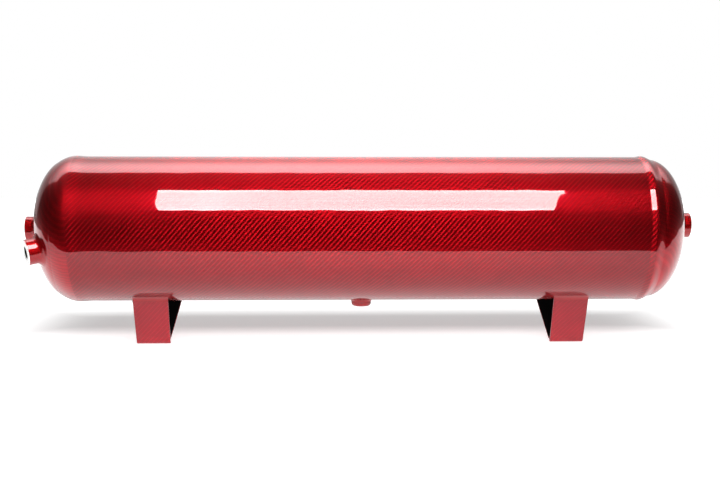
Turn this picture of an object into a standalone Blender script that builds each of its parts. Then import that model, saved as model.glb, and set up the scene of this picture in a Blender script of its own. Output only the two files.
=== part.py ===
"""A horizontal air receiver tank: a rolled shell, two dished heads, threaded ports and two feet.

Metres, +Z up. The tank lies along X and stands on Z = 0. The origin is on the floor, midway
between the feet, and -Y is the front. Everything is worked out from the values below.
"""

import math

import bmesh
import bpy
from mathutils import Matrix, Vector

# Shell
SHELL_RADIUS = 0.0890  # outside
SHELL_LENGTH = 0.6970  # edge to edge, without the heads
SHELL_WALL = 0.0028
AXIS_HEIGHT = 0.1430  # tank's axis above the floor

# Heads: an oval dome with a straight flange that slips inside the shell
HEAD_WALL = 0.0030
HEAD_FLANGE = 0.0220  # straight part inside the shell
DOME_START = 0.0090  # where the dome begins, outside the shell's edge
DOME_DEPTH = 0.0440
DOME_FULLNESS = 2.00  # 2 is a plain ellipse, more is a fuller shoulder

# Welds
GIRTH_BEAD_HALF = 0.0075  # crest to toe, on the shell
GIRTH_BEAD_RISE = 0.0009
GIRTH_FILLET = 0.0160  # crest to toe, down the head
SEAM_BEAD_WIDTH = 0.0060
SEAM_BEAD_RISE = 0.0006
SEAM_CLOCK = math.radians(55)  # from straight down, towards the rear
PORT_FILLET = 0.0045
DRAIN_FILLET = 0.0024
FOOT_FILLET = 0.0045
TOE = 0.0004  # least thickness at the edge of a weld
WELD_HOLLOW = 1.35  # 1 is a quarter round, more is a flatter face

# Ports: plain bungs with a threaded bore
PORT_DIAMETER = 0.0310
PORT_BORE = 0.0146
PORT_EDGE = 0.0008  # rounding of its outer edge
PORT_TAIL = 0.0020  # inside the head
END_PORT_STANDOUT = 0.0122  # beyond the dome's top
RIGHT_PORT_RISE = 0.0040  # its axis above the tank's
SIDE_PORT_STANDOUT = 0.0148
SIDE_PORT_OFFSET = 0.0620  # from the tank's axis to where it leaves the dome
SIDE_PORT_CLOCK = math.radians(20)  # below level, towards the front
DRAIN_DIAMETER = 0.0250
DRAIN_BORE = 0.0111
DRAIN_EDGE = 0.0045
DRAIN_STANDOUT = 0.0082
DRAIN_TAIL = 0.0015
BORE_CHAMFER = 0.0008

# Feet: one bent strip each, with a straight front leg and a flared rear leg
FOOT_SHEET = 0.0030
FOOT_INSET = 0.08825  # from the shell's edge to the foot's middle
FRONT_LEG_BASE_WIDTH = 0.0422
FRONT_LEG_TOP_WIDTH = 0.0434
REAR_LEG_BASE_WIDTH = 0.0360
REAR_LEG_TOP_WIDTH = 0.0700
FOOT_BASE_DEPTH = 0.0240
FOOT_TOP_DEPTH = 0.0680  # between the two legs where they meet the shell
FOOT_BEND = 0.0050  # outside radius
FOOT_HOLE = 0.0070

# How pieces meet, and how round they are
GAP = 0.0003  # between two pieces that touch
ROUND_STEPS = 64
SMALL_STEPS = 28
DOME_POINTS = 8
CREST_POINTS = 6
FILLET_POINTS = 3
EDGE_POINTS = 4
BEND_POINTS = 3

SHELL_HALF = SHELL_LENGTH / 2
FOOT_SPACING = SHELL_LENGTH - 2 * FOOT_INSET  # centre to centre
FLANGE_RADIUS = SHELL_RADIUS - SHELL_WALL - GAP
TANK_CENTRE = Vector((0, 0, AXIS_HEIGHT))
LEFT, RIGHT = -1, 1

RED = (0.42, 0.010, 0.022, 1)
BARE = (0.72, 0.72, 0.70, 1)


def clear_scene():
    for obj in list(bpy.data.objects):
        bpy.data.objects.remove(obj, do_unlink=True)


def new_collection(name):
    collection = bpy.data.collections.new(name)
    bpy.context.scene.collection.children.link(collection)
    return collection


def new_material(name, colour, metallic, roughness):
    material = bpy.data.materials.new(name)
    material.use_nodes = True
    shader = material.node_tree.nodes["Principled BSDF"]
    shader.inputs["Base Color"].default_value = colour
    shader.inputs["Metallic"].default_value = metallic
    shader.inputs["Roughness"].default_value = roughness
    return material


def new_object(name, mesh, collection, material=None):
    obj = bpy.data.objects.new(name, mesh)
    collection.objects.link(obj)
    if material:
        mesh.materials.append(material)
    return obj


def hide_cutter(obj):
    obj.hide_render = True
    obj.display_type = "WIRE"
    return obj


def line_mesh(name, points, closed):
    """A chain of edges in the XZ plane, from (radius, height) points."""
    mesh = bpy.data.meshes.new(name)
    edges = [(i, i + 1) for i in range(len(points) - 1)]
    if closed:
        edges.append((len(points) - 1, 0))
    mesh.from_pydata([(r, 0, z) for r, z in points], edges, [])
    return mesh


def turned(name, points, place, collection, material=None, steps=ROUND_STEPS, closed=True):
    """A profile turned about its own Z. Its outer side runs from the top down."""
    obj = new_object(name, line_mesh(name, points, closed), collection, material)
    screw = obj.modifiers.new("turn", "SCREW")
    screw.axis = "Z"
    screw.angle = 2 * math.pi
    screw.steps = screw.render_steps = steps
    screw.use_merge_vertices = True
    screw.merge_threshold = 0.00001
    screw.use_smooth_shade = True
    obj.matrix_world = place
    return obj


def cut(obj, cutter):
    boolean = obj.modifiers.new("cut " + cutter.name, "BOOLEAN")
    boolean.operation = "DIFFERENCE"
    boolean.solver = "EXACT"
    boolean.object = cutter


def along(direction, origin):
    """The placing that turns local Z to the direction and puts local zero at the origin."""
    turn = Vector(direction).to_track_quat("Z", "Y").to_matrix().to_4x4()
    return Matrix.Translation(origin) @ turn


def end_place(side, from_centre):
    """Local Z runs outwards along the tank's axis, from a point this far from its middle."""
    return along((side, 0, 0), TANK_CENTRE + Vector((side * from_centre, 0, 0)))


# The dome, as heights and radii from the shell's edge


def dome_radius(height, radius, depth):
    share = min(max(height / depth, 0), 1)
    return radius * (1 - share**DOME_FULLNESS) ** (1 / DOME_FULLNESS)


def dome_height(distance, radius, depth):
    share = min(max(distance / radius, 0), 1)
    return depth * (1 - share**DOME_FULLNESS) ** (1 / DOME_FULLNESS)


def dome_points(gap):
    """The dome's outer face, from its top on the axis down to its rim, as (radius, height).

    It is moved outwards by a gap, or inwards where the gap is negative.
    """
    radius, depth = FLANGE_RADIUS + gap, DOME_DEPTH + gap
    points = [(0, DOME_START + depth)]
    for i in range(1, DOME_POINTS + 1):
        angle = math.pi / 2 * (1 - i / DOME_POINTS)
        r = radius * math.cos(angle) ** (2 / DOME_FULLNESS)
        z = depth * max(math.sin(angle), 0) ** (2 / DOME_FULLNESS)
        points.append((r, DOME_START + z))
    return points


def outer_radius_at(height):
    """The head's radius at a height beyond the shell's edge."""
    return dome_radius(height - DOME_START, FLANGE_RADIUS, DOME_DEPTH)


def dome_normal(distance):
    """(radial, axial) parts of the dome's normal, this far from the tank's axis."""
    height = dome_height(distance, FLANGE_RADIUS, DOME_DEPTH)
    power = DOME_FULLNESS - 1
    normal = Vector(
        (
            (distance / FLANGE_RADIUS) ** power / FLANGE_RADIUS,
            (height / DOME_DEPTH) ** power / DOME_DEPTH,
        )
    )
    return normal.normalized()


# Shell and heads


def make_shell(parts, red):
    inner = SHELL_RADIUS - SHELL_WALL
    points = [
        (inner, SHELL_HALF),
        (SHELL_RADIUS, SHELL_HALF),
        (SHELL_RADIUS, -SHELL_HALF),
        (inner, -SHELL_HALF),
    ]
    return turned("shell_tube", points, end_place(RIGHT, 0), parts, red)


def make_head(name, side, parts, red):
    outside = dome_points(0) + [(FLANGE_RADIUS, -HEAD_FLANGE)]
    inside = dome_points(-HEAD_WALL) + [(FLANGE_RADIUS - HEAD_WALL, -HEAD_FLANGE)]
    place = end_place(side, SHELL_HALF)
    return turned(name, outside + inside[::-1], place, parts, red, closed=False)


def make_girth_weld(name, side, parts, red):
    """A bead over the shell's edge that runs down on to the head."""
    seat = SHELL_RADIUS + GAP
    foot_radius = outer_radius_at(GIRTH_FILLET) + GAP
    crest = []
    for i in range(CREST_POINTS + 1):
        x = GIRTH_BEAD_HALF * (2 * i / CREST_POINTS - 1)
        swell = math.cos(math.pi / 2 * x / GIRTH_BEAD_HALF) ** 2
        crest.append((seat + TOE + GIRTH_BEAD_RISE * swell, x))
    outside = [(foot_radius + TOE, GIRTH_FILLET)] + crest[::-1]
    inside = [(seat, -GIRTH_BEAD_HALF), (seat, GAP)]
    for x in (GAP, DOME_START, (DOME_START + GIRTH_FILLET) / 2, GIRTH_FILLET):
        inside.append((outer_radius_at(x) + GAP, x))
    return turned(name, outside + inside, end_place(side, SHELL_HALF), parts, red)


def make_seam_weld(parts, red):
    """The long seam's bead, low on the rear, between the two girth welds."""
    half_angle = SEAM_BEAD_WIDTH / 2 / SHELL_RADIUS
    seat = SHELL_RADIUS + GAP
    section = []
    for i in range(5):
        angle = half_angle * (i / 2 - 1)
        swell = math.cos(math.pi / 2 * angle / half_angle)
        section.append((seat + TOE + SEAM_BEAD_RISE * swell, angle))
    section += [(seat, half_angle), (seat, 0), (seat, -half_angle)]
    outline = []
    for radius, angle in section:
        turn = SEAM_CLOCK + angle
        outline.append((radius * math.sin(turn), AXIS_HEIGHT - radius * math.cos(turn)))
    half = SHELL_HALF - GIRTH_BEAD_HALF - GAP
    return bar("shell_seam_weld", outline, -half, half, parts, red)


def bar(name, outline, x_low, x_high, collection, material):
    """A solid bar along X from an outline of (y, z) points."""
    mesh = bpy.data.meshes.new(name)
    shape = bmesh.new()
    ring = [shape.verts.new((x_low, y, z)) for y, z in outline]
    face = shape.faces.new(ring)
    moved = bmesh.ops.extrude_face_region(shape, geom=[face])
    new_points = [v for v in moved["geom"] if isinstance(v, bmesh.types.BMVert)]
    bmesh.ops.translate(shape, verts=new_points, vec=(x_high - x_low, 0, 0))
    bmesh.ops.recalc_face_normals(shape, faces=shape.faces)
    shape.to_mesh(mesh)
    shape.free()
    return new_object(name, mesh, collection, material)


# Ports


def bung_points(diameter, bore, standout, tail, edge):
    """A bored round bung. Height zero is where it leaves the head or shell that it goes through."""
    outer, inner = diameter / 2, bore / 2
    points = [(inner + BORE_CHAMFER, standout)]
    for i in range(EDGE_POINTS + 1):
        angle = math.pi / 2 * i / EDGE_POINTS
        r = outer - edge * (1 - math.sin(angle))
        points.append((r, standout - edge * (1 - math.cos(angle))))
    return points + [(outer, -tail), (inner, -tail), (inner, standout - BORE_CHAMFER)]


def fillet_points(diameter, leg, floor):
    """A weld ring round a bung, from its top down, deep enough to be cut back to its seat.

    floor gives the height of that seat, at a distance from the bung's axis.
    """
    inner = diameter / 2 + GAP
    outer = inner + leg
    points = [(inner, floor(inner) + GAP + leg)]
    for i in range(FILLET_POINTS + 1):
        angle = math.pi / 2 * i / FILLET_POINTS
        r = inner + TOE + (leg - TOE) * (1 - math.cos(angle)) ** WELD_HOLLOW
        rise = (leg - TOE) * (1 - math.sin(angle)) ** WELD_HOLLOW
        points.append((r, floor(r) + GAP + TOE + rise))
    depth = 2 * leg
    return points + [(outer, floor(outer) - depth), (inner, floor(outer) - depth)]


def dome_sag(distance):
    """The dome's average fall from a plane that touches it, on a sphere of about its roundness."""
    return -(distance**2) / (FLANGE_RADIUS + DOME_DEPTH)


def shell_sag(distance):
    """The shell's average fall from a plane that touches it, round a ring of this radius."""
    return -(distance**2) / (4 * SHELL_RADIUS)


def hole_cutter(name, diameter, reach, place, cutters):
    radius = diameter / 2 + GAP
    points = [(0, reach), (radius, reach), (radius, -reach), (0, -reach)]
    return hide_cutter(turned(name, points, place, cutters, None, SMALL_STEPS, False))


def head_clearance(name, side, cutters):
    """A head as a solid, one gap larger all round."""
    points = dome_points(GAP) + [(FLANGE_RADIUS + GAP, -HEAD_FLANGE), (0, -HEAD_FLANGE)]
    place = end_place(side, SHELL_HALF)
    return hide_cutter(turned(name, points, place, cutters, closed=False))


def shell_clearance(cutters):
    """The shell as a solid bar, one gap larger all round."""
    radius = SHELL_RADIUS + GAP
    points = [(0, SHELL_HALF), (radius, SHELL_HALF), (radius, -SHELL_HALF), (0, -SHELL_HALF)]
    place = end_place(RIGHT, 0)
    return hide_cutter(turned("shell_clearance", points, place, cutters, closed=False))


def end_port_place(side, rise):
    """On a head's dome, level with the tank's axis or a little above it."""
    height = DOME_START + dome_height(rise, FLANGE_RADIUS, DOME_DEPTH)
    return along((side, 0, 0), TANK_CENTRE + Vector((side * (SHELL_HALF + height), 0, rise)))


def side_port_place():
    """On the left head's dome, low on the front, square to the dome."""
    height = DOME_START + dome_height(SIDE_PORT_OFFSET, FLANGE_RADIUS, DOME_DEPTH)
    radial, axial = dome_normal(SIDE_PORT_OFFSET)
    out = Vector((0, -math.cos(SIDE_PORT_CLOCK), -math.sin(SIDE_PORT_CLOCK)))
    axis = Vector((LEFT * axial, 0, 0)) + radial * out
    start = TANK_CENTRE + Vector((LEFT * (SHELL_HALF + height), 0, 0)) + SIDE_PORT_OFFSET * out
    return along(axis, start)


def make_head_port(name, standout, place, head, clearance, parts, cutters, red, bare):
    tail = HEAD_WALL + PORT_TAIL
    points = bung_points(PORT_DIAMETER, PORT_BORE, standout, tail, PORT_EDGE)
    turned(name, points, place, parts, bare, SMALL_STEPS)
    cut(head, hole_cutter(name + "_hole", PORT_DIAMETER, 3 * tail, place, cutters))
    ring = fillet_points(PORT_DIAMETER, PORT_FILLET, dome_sag)
    weld = turned(name + "_weld", ring, place, parts, red, SMALL_STEPS)
    cut(weld, clearance)


def make_drain_port(shell, clearance, parts, cutters, red, bare):
    place = along((0, 0, -1), TANK_CENTRE - Vector((0, 0, SHELL_RADIUS)))
    tail = SHELL_WALL + DRAIN_TAIL
    points = bung_points(DRAIN_DIAMETER, DRAIN_BORE, DRAIN_STANDOUT, tail, DRAIN_EDGE)
    turned("drain_port", points, place, parts, bare, SMALL_STEPS)
    cut(shell, hole_cutter("drain_hole", DRAIN_DIAMETER, 3 * tail, place, cutters))
    ring = fillet_points(DRAIN_DIAMETER, DRAIN_FILLET, shell_sag)
    weld = turned("drain_port_weld", ring, place, parts, red, SMALL_STEPS)
    cut(weld, clearance)


# Feet


def foot_path():
    """The strip's outer face from the front leg's top, under the base, to the rear leg's top.

    Each point is (y, z, half width). The legs run a little into the shell and are coped to it.
    """
    top_z = AXIS_HEIGHT - math.sqrt(SHELL_RADIUS**2 - (FOOT_TOP_DEPTH / 2) ** 2)
    base_y, top_y = FOOT_BASE_DEPTH / 2, FOOT_TOP_DEPTH / 2
    lean = math.atan2(top_y - base_y, top_z)
    run_in = 2 * FOOT_SHEET
    rear = []
    turn = math.pi / 2 - lean
    start_y = base_y - FOOT_BEND * math.tan(turn / 2)
    for i in range(BEND_POINTS + 1):
        angle = turn * i / BEND_POINTS
        y = start_y + FOOT_BEND * math.sin(angle)
        rear.append((y, FOOT_BEND * (1 - math.cos(angle))))
    rear.append((top_y + run_in * math.sin(lean), top_z + run_in * math.cos(lean)))

    def half_width(z, base, top):
        return (base + (top - base) * z / top_z) / 2

    front = [
        (-y, z, half_width(z, FRONT_LEG_BASE_WIDTH, FRONT_LEG_TOP_WIDTH)) for y, z in rear[::-1]
    ]
    return front + [(y, z, half_width(z, REAR_LEG_BASE_WIDTH, REAR_LEG_TOP_WIDTH)) for y, z in rear]


def make_foot(name, x, parts, cutters, red, clearance):
    shape = bmesh.new()
    rows = []
    for y, z, half in foot_path():
        rows.append([shape.verts.new((x - half, y, z)), shape.verts.new((x + half, y, z))])
    for low, high in zip(rows, rows[1:]):
        shape.faces.new((low[0], high[0], high[1], low[1]))
    mesh = bpy.data.meshes.new(name)
    shape.to_mesh(mesh)
    shape.free()
    foot = new_object(name, mesh, parts, red)
    sheet = foot.modifiers.new("sheet", "SOLIDIFY")
    sheet.thickness = FOOT_SHEET
    sheet.offset = -1
    sheet.use_even_offset = True
    cut(foot, clearance)
    place = along((0, 0, 1), Vector((x, 0, 0)))
    snug = FOOT_HOLE - 2 * GAP  # hole_cutter widens it again by the gap
    cut(foot, hole_cutter(name + "_hole", snug, 2 * FOOT_SHEET, place, cutters))


def make_foot_weld(name, x, facing, half, parts, red):
    """A fillet along the outside of one leg's top. facing is -1 for the front, 1 for the rear."""
    (y_low, z_low, _), (y_high, z_high, _) = foot_path()[-2:]
    rise = Vector((y_high - y_low, z_high - z_low)).normalized()
    out = Vector((rise.y, -rise.x))
    low = Vector((y_low, z_low)) + GAP * out
    seat = SHELL_RADIUS + GAP
    # where the leg's outer face, moved out by the gap, meets the shell's clearance
    to_low = low - Vector((0, AXIS_HEIGHT))
    b = to_low.dot(rise)
    reach = -b - math.sqrt(b * b - to_low.length_squared + seat**2)
    corner = low + reach * rise
    corner_angle = math.asin(corner.x / seat)
    outline = [corner - FOOT_FILLET * rise + TOE * out, corner - FOOT_FILLET * rise]
    for i in range(4):
        angle = corner_angle + FOOT_FILLET / seat * i / 3
        around = Vector((math.sin(angle), -math.cos(angle)))
        outline.append(Vector((0, AXIS_HEIGHT)) + seat * around)
    outline.append(outline[-1] + TOE * around)
    points = [(facing * y, z) for y, z in outline]
    return bar(name, points, x - half, x + half, parts, red)


def main():
    clear_scene()
    parts = new_collection("air_receiver_tank")
    cutters = new_collection("cutters")
    red = new_material("candy_red_weave", RED, 0.35, 0.12)
    bare = new_material("machined_steel", BARE, 1.0, 0.30)
    shell = make_shell(parts, red)
    make_seam_weld(parts, red)
    left_head = make_head("left_head", LEFT, parts, red)
    right_head = make_head("right_head", RIGHT, parts, red)
    make_girth_weld("left_girth_weld", LEFT, parts, red)
    make_girth_weld("right_girth_weld", RIGHT, parts, red)
    left_seat = head_clearance("left_head_clearance", LEFT, cutters)
    right_seat = head_clearance("right_head_clearance", RIGHT, cutters)
    for name, standout, place, head, seat in (
        ("left_centre_port", END_PORT_STANDOUT, end_port_place(LEFT, 0), left_head, left_seat),
        ("left_side_port", SIDE_PORT_STANDOUT, side_port_place(), left_head, left_seat),
        (
            "right_centre_port",
            END_PORT_STANDOUT,
            end_port_place(RIGHT, RIGHT_PORT_RISE),
            right_head,
            right_seat,
        ),
    ):
        make_head_port(name, standout, place, head, seat, parts, cutters, red, bare)
    shell_seat = shell_clearance(cutters)
    make_drain_port(shell, shell_seat, parts, cutters, red, bare)
    for name, side in (("left", LEFT), ("right", RIGHT)):
        x = side * FOOT_SPACING / 2
        make_foot(name + "_foot", x, parts, cutters, red, shell_seat)
        front, rear = FRONT_LEG_TOP_WIDTH / 2, REAR_LEG_TOP_WIDTH / 2
        make_foot_weld(name + "_foot_front_weld", x, -1, front, parts, red)
        make_foot_weld(name + "_foot_rear_weld", x, 1, rear, parts, red)


main()
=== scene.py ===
import math

import bmesh
import bpy
import numpy as np
from mathutils import Matrix, Vector


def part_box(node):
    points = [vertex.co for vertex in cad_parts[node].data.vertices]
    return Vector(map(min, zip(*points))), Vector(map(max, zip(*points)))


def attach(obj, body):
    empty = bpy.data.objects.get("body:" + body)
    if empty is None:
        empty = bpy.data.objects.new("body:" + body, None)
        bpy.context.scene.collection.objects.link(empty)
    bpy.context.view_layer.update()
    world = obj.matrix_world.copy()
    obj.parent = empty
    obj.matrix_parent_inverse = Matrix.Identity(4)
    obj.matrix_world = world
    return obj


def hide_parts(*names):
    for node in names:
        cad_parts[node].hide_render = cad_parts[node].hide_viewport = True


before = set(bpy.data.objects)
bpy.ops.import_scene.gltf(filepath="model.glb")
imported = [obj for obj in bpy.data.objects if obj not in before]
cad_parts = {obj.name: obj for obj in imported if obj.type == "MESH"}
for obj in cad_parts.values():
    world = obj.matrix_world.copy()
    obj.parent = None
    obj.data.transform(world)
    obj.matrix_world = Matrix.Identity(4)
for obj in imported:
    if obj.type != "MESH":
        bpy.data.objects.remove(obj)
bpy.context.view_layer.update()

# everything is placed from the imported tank
shellLow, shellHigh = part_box("shell_tube")
headLow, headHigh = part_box("left_head")
axisHeight = (shellLow.z + shellHigh.z) / 2
shellRadius = (shellHigh.z - shellLow.z) / 2
shellHalf = shellHigh.x
flangeRadius = (headHigh.z - headLow.z) / 2
tankCentre = Vector((0, 0, axisHeight))
mapName = "weaveMap"
mergeGap = 0.000002
fullTurn = 2 * math.pi
print("frame loaded, shell radius", round(shellRadius, 4), "half length", round(shellHalf, 4))


# building nodes and objects


def linked(name, data):
    obj = bpy.data.objects.new(name, data)
    bpy.context.scene.collection.objects.link(obj)
    return obj


def fillInputs(tree, node, inputs):
    # each input is a plain value or another node's output
    for key, value in inputs.items():
        socket = node.inputs[key]
        if isinstance(value, bpy.types.NodeSocket):
            tree.links.new(value, socket)
        elif socket.type == "RGBA":
            socket.default_value = (*value, 1)
        else:
            socket.default_value = value


def addNode(tree, kind, inputs=None):
    node = tree.nodes.new(kind)
    fillInputs(tree, node, inputs or {})
    return node


def mathNode(tree, operation, *values):
    node = tree.nodes.new("ShaderNodeMath")
    node.operation = operation
    fillInputs(tree, node, dict(enumerate(values)))
    return node.outputs[0]


def mapRange(tree, value, fromLow, fromHigh, toLow, toHigh, fade="LINEAR"):
    node = tree.nodes.new("ShaderNodeMapRange")
    node.interpolation_type = fade
    inputs = {"Value": value, "From Min": fromLow, "From Max": fromHigh, "To Min": toLow, "To Max": toHigh}
    fillInputs(tree, node, inputs)
    return node.outputs["Result"]


def splitVector(tree, vector):
    return list(addNode(tree, "ShaderNodeSeparateXYZ", {0: vector}).outputs)


def colourMix(tree, factor, first, second, blend="MIX"):
    node = tree.nodes.new("ShaderNodeMix")
    node.data_type = "RGBA"
    node.blend_type = blend
    fillInputs(tree, node, {0: factor, 6: first, 7: second})
    return node.outputs[2]


def noiseValue(tree, vector, scale, detail=2.0):
    inputs = {"Vector": vector, "Scale": scale, "Detail": detail}
    return addNode(tree, "ShaderNodeTexNoise", inputs).outputs["Fac"]


def noiseTone(tree, vector, scale, low, high, detail=3.0):
    # the middle of a noise's values, spread from low to high
    return mapRange(tree, noiseValue(tree, vector, scale, detail), 0.3, 0.7, low, high)


def bumpNormal(tree, height, strength, depth):
    inputs = {"Height": height, "Strength": strength, "Distance": depth}
    return addNode(tree, "ShaderNodeBump", inputs).outputs[0]


def objectPlace(tree):
    return addNode(tree, "ShaderNodeTexCoord").outputs["Object"]


def pieceMap(tree):
    node = tree.nodes.new("ShaderNodeUVMap")
    node.uv_map = mapName
    return node.outputs[0]


def emptyMaterial(name):
    material = bpy.data.materials.new(name)
    material.use_nodes = True
    material.node_tree.nodes.clear()
    return material, material.node_tree


def finishMaterial(tree, shader):
    addNode(tree, "ShaderNodeOutputMaterial", {"Surface": shader.outputs[0]})


# camera

cameraSettings = {
    "place": (-0.0590, -1.4402, 0.2445),
    "pitch": 0.1652,  # radians below level
    "yaw": -0.0400,
    "roll": 0.0019,
    "lens": 57.5,
    "sensor": 36,
    "shiftUp": 0.1231,
}


def makeCamera(settings):
    data = bpy.data.cameras.new("studioCamera")
    data.lens = settings["lens"]
    data.sensor_width = settings["sensor"]
    data.shift_y = settings["shiftUp"]
    camera = linked("studioCamera", data)
    turn = (
        Matrix.Rotation(settings["yaw"], 4, "Z")
        @ Matrix.Rotation(math.pi / 2 - settings["pitch"], 4, "X")
        @ Matrix.Rotation(settings["roll"], 4, "Z")
    )
    camera.matrix_world = Matrix.Translation(settings["place"]) @ turn
    bpy.context.scene.camera = camera


makeCamera(cameraSettings)


# studio: a dark room in front, a long softbox above the front, white behind and overhead

studio = {
    "roomDark": 0.02,
    "ceilingGlow": 7.0,  # just behind overhead
    "wallGlow": 1.25,  # behind, near the floor
    "ceilingStarts": 103.0,  # degrees, from the front horizon up and over
    "ceilingFades": (110.0, 142.0),
    "lampWidth": 0.20,  # sideways reach of the brightest part overhead
    "lampShare": 0.75,
    "wallLow": 1.5,  # how much wider the white is level with the tank
    "wallEdge": (0.60, 0.72),  # sideways end of the white behind and overhead
    "fill": 0.25,  # what the room gives to dull surfaces
}
softbox = {
    "place": (0.052, -0.865, 1.115),
    "wide": 0.929,
    "tall": 0.765,
    "slant": 0.036,  # how much further its right edge reaches at the top
    "glow": 17.5,
    "tint": (1.0, 0.995, 0.95),
    "rim": 0.22,  # how much brighter its edge is than its middle
    "rimReach": (0.70, 0.92),  # shares of its half height
    "hotSpot": (-0.36, 0.13, 0.16),  # where its lamp shows through, how wide, how much brighter
    "foldScale": (2.0, 16.0, 1.0),
    "foldTone": (0.90, 1.07),
}
fillLamp = {
    "place": (0.037, -1.294, 1.083),
    "size": (1.5, 1.16),
    "power": 32.0,
}
paper = {
    "front": -0.285,  # front edge of the sheet that the tank stands on
    "sides": (-0.82, 1.00),
    "widens": 1.1,
    "half": 4.0,
    "white": 0.80,
    "rough": 0.9,
    "grain": 300,
    "grainTone": 0.02,
    # the paper's glow is painted light, with a painted shadow where the tank's shadow lies
    "glow": (0.12, 0.68, 1.10),  # where the shadow lies, round it, and far away
    "shadowMiddle": 0.175,
    "shadowReach": (0.03, 0.17),
    "farReach": (0.40, 0.90),
}


def makeWorld(settings):
    world = bpy.data.worlds.new("studioWorld")
    bpy.context.scene.world = world
    world.use_nodes = True
    tree = world.node_tree
    tree.nodes.clear()
    x, y, z = splitVector(tree, addNode(tree, "ShaderNodeTexCoord").outputs["Generated"])
    over = mathNode(tree, "ARCTAN2", z, mathNode(tree, "MULTIPLY", y, -1.0))
    fades = [math.radians(angle) for angle in settings["ceilingFades"]]
    glow = mapRange(tree, over, *fades, settings["ceilingGlow"], settings["wallGlow"], "SMOOTHSTEP")
    lit = mathNode(tree, "GREATER_THAN", over, math.radians(settings["ceilingStarts"]))
    # how far a ray leans sideways for what it goes back and up
    nearNone = 0.001
    back = mathNode(tree, "MULTIPLY", mathNode(tree, "MAXIMUM", y, nearNone), settings["wallLow"])
    rise = mathNode(tree, "MAXIMUM", z, nearNone)
    sideways = mathNode(tree, "DIVIDE", mathNode(tree, "ABSOLUTE", x), mathNode(tree, "ADD", back, rise))
    offset = mathNode(tree, "DIVIDE", sideways, settings["lampWidth"])
    offset = mathNode(tree, "MULTIPLY_ADD", offset, offset, 1.0)
    falling = mathNode(tree, "DIVIDE", settings["lampShare"], offset)
    lamp = mathNode(tree, "ADD", falling, 1 - settings["lampShare"])
    panel = mapRange(tree, sideways, *settings["wallEdge"], 1.0, 0.0, "SMOOTHSTEP")
    lit = mathNode(tree, "MULTIPLY", lit, mathNode(tree, "MULTIPLY", lamp, panel))
    strength = mathNode(tree, "MULTIPLY_ADD", lit, glow, settings["roomDark"])
    picked = addNode(tree, "ShaderNodeBackground", {"Strength": strength})
    path = tree.nodes.new("ShaderNodeLightPath")
    for kind, level in (("Is Diffuse Ray", settings["fill"]), ("Is Camera Ray", 1.0)):
        plain = addNode(tree, "ShaderNodeBackground", {"Color": (1, 1, 1), "Strength": level})
        inputs = {0: path.outputs[kind], 1: picked.outputs[0], 2: plain.outputs[0]}
        picked = addNode(tree, "ShaderNodeMixShader", inputs)
    addNode(tree, "ShaderNodeOutputWorld", {"Surface": picked.outputs[0]})


def clothMaterial(settings):
    # a lit cloth front, a little brighter along its long edges and over its lamp
    material, tree = emptyMaterial("softboxCloth")
    place = objectPlace(tree)
    x, y, _ = splitVector(tree, place)
    start, end = (settings["tall"] / 2 * share for share in settings["rimReach"])
    offset = mathNode(tree, "ABSOLUTE", y)
    rim = mapRange(tree, offset, start, end, 1.0, 1.0 + settings["rim"], "SMOOTHSTEP")
    stretch = addNode(tree, "ShaderNodeMapping", {"Vector": place, "Scale": settings["foldScale"]})
    fold = mapRange(tree, noiseValue(tree, stretch.outputs[0], 1.0), 0.35, 0.65, *settings["foldTone"])
    spot, reach, extra = settings["hotSpot"]
    away = mathNode(tree, "DIVIDE", mathNode(tree, "ADD", x, spot), reach)
    away = mathNode(tree, "MULTIPLY_ADD", away, away, 1.0)
    hot = mathNode(tree, "DIVIDE", extra, mathNode(tree, "MULTIPLY", away, away))
    level = mathNode(tree, "MULTIPLY", mathNode(tree, "ADD", rim, hot), settings["glow"])
    strength = mathNode(tree, "MULTIPLY", level, fold)
    inputs = {"Color": settings["tint"], "Strength": strength}
    finishMaterial(tree, addNode(tree, "ShaderNodeEmission", inputs))
    return material


def aimed(place, side):
    # at place, with local -Z towards the tank's axis where side is 1, and away from it where it is -1
    place = Vector(place)
    way = side * (Vector((place.x, 0, axisHeight)) - place)
    return Matrix.Translation(place) @ way.to_track_quat("-Z", "Y").to_matrix().to_4x4()


def makeSoftbox(settings):
    wide, tall, slant = settings["wide"] / 2, settings["tall"] / 2, settings["slant"]
    mesh = bpy.data.meshes.new("softbox")
    corners = [(slant - wide, -tall, 0), (wide, -tall, 0), (wide, tall, 0), (-wide, tall, 0)]
    mesh.from_pydata(corners, [], [(0, 1, 2, 3)])
    mesh.materials.append(clothMaterial(settings))
    lamp = linked("softbox", mesh)
    lamp.matrix_world = aimed(settings["place"], -1)
    lamp.visible_camera = False
    lamp.visible_diffuse = False
    lamp.visible_shadow = False


def makeFill(settings):
    # a wide soft lamp behind the softbox that only the paper and dull surfaces take light from
    data = bpy.data.lights.new("frontFill", "AREA")
    data.shape = "RECTANGLE"
    data.size, data.size_y = settings["size"]
    data.energy = settings["power"]
    lamp = linked("frontFill", data)
    lamp.matrix_world = aimed(settings["place"], 1)
    lamp.visible_camera = False
    lamp.visible_glossy = False


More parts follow.
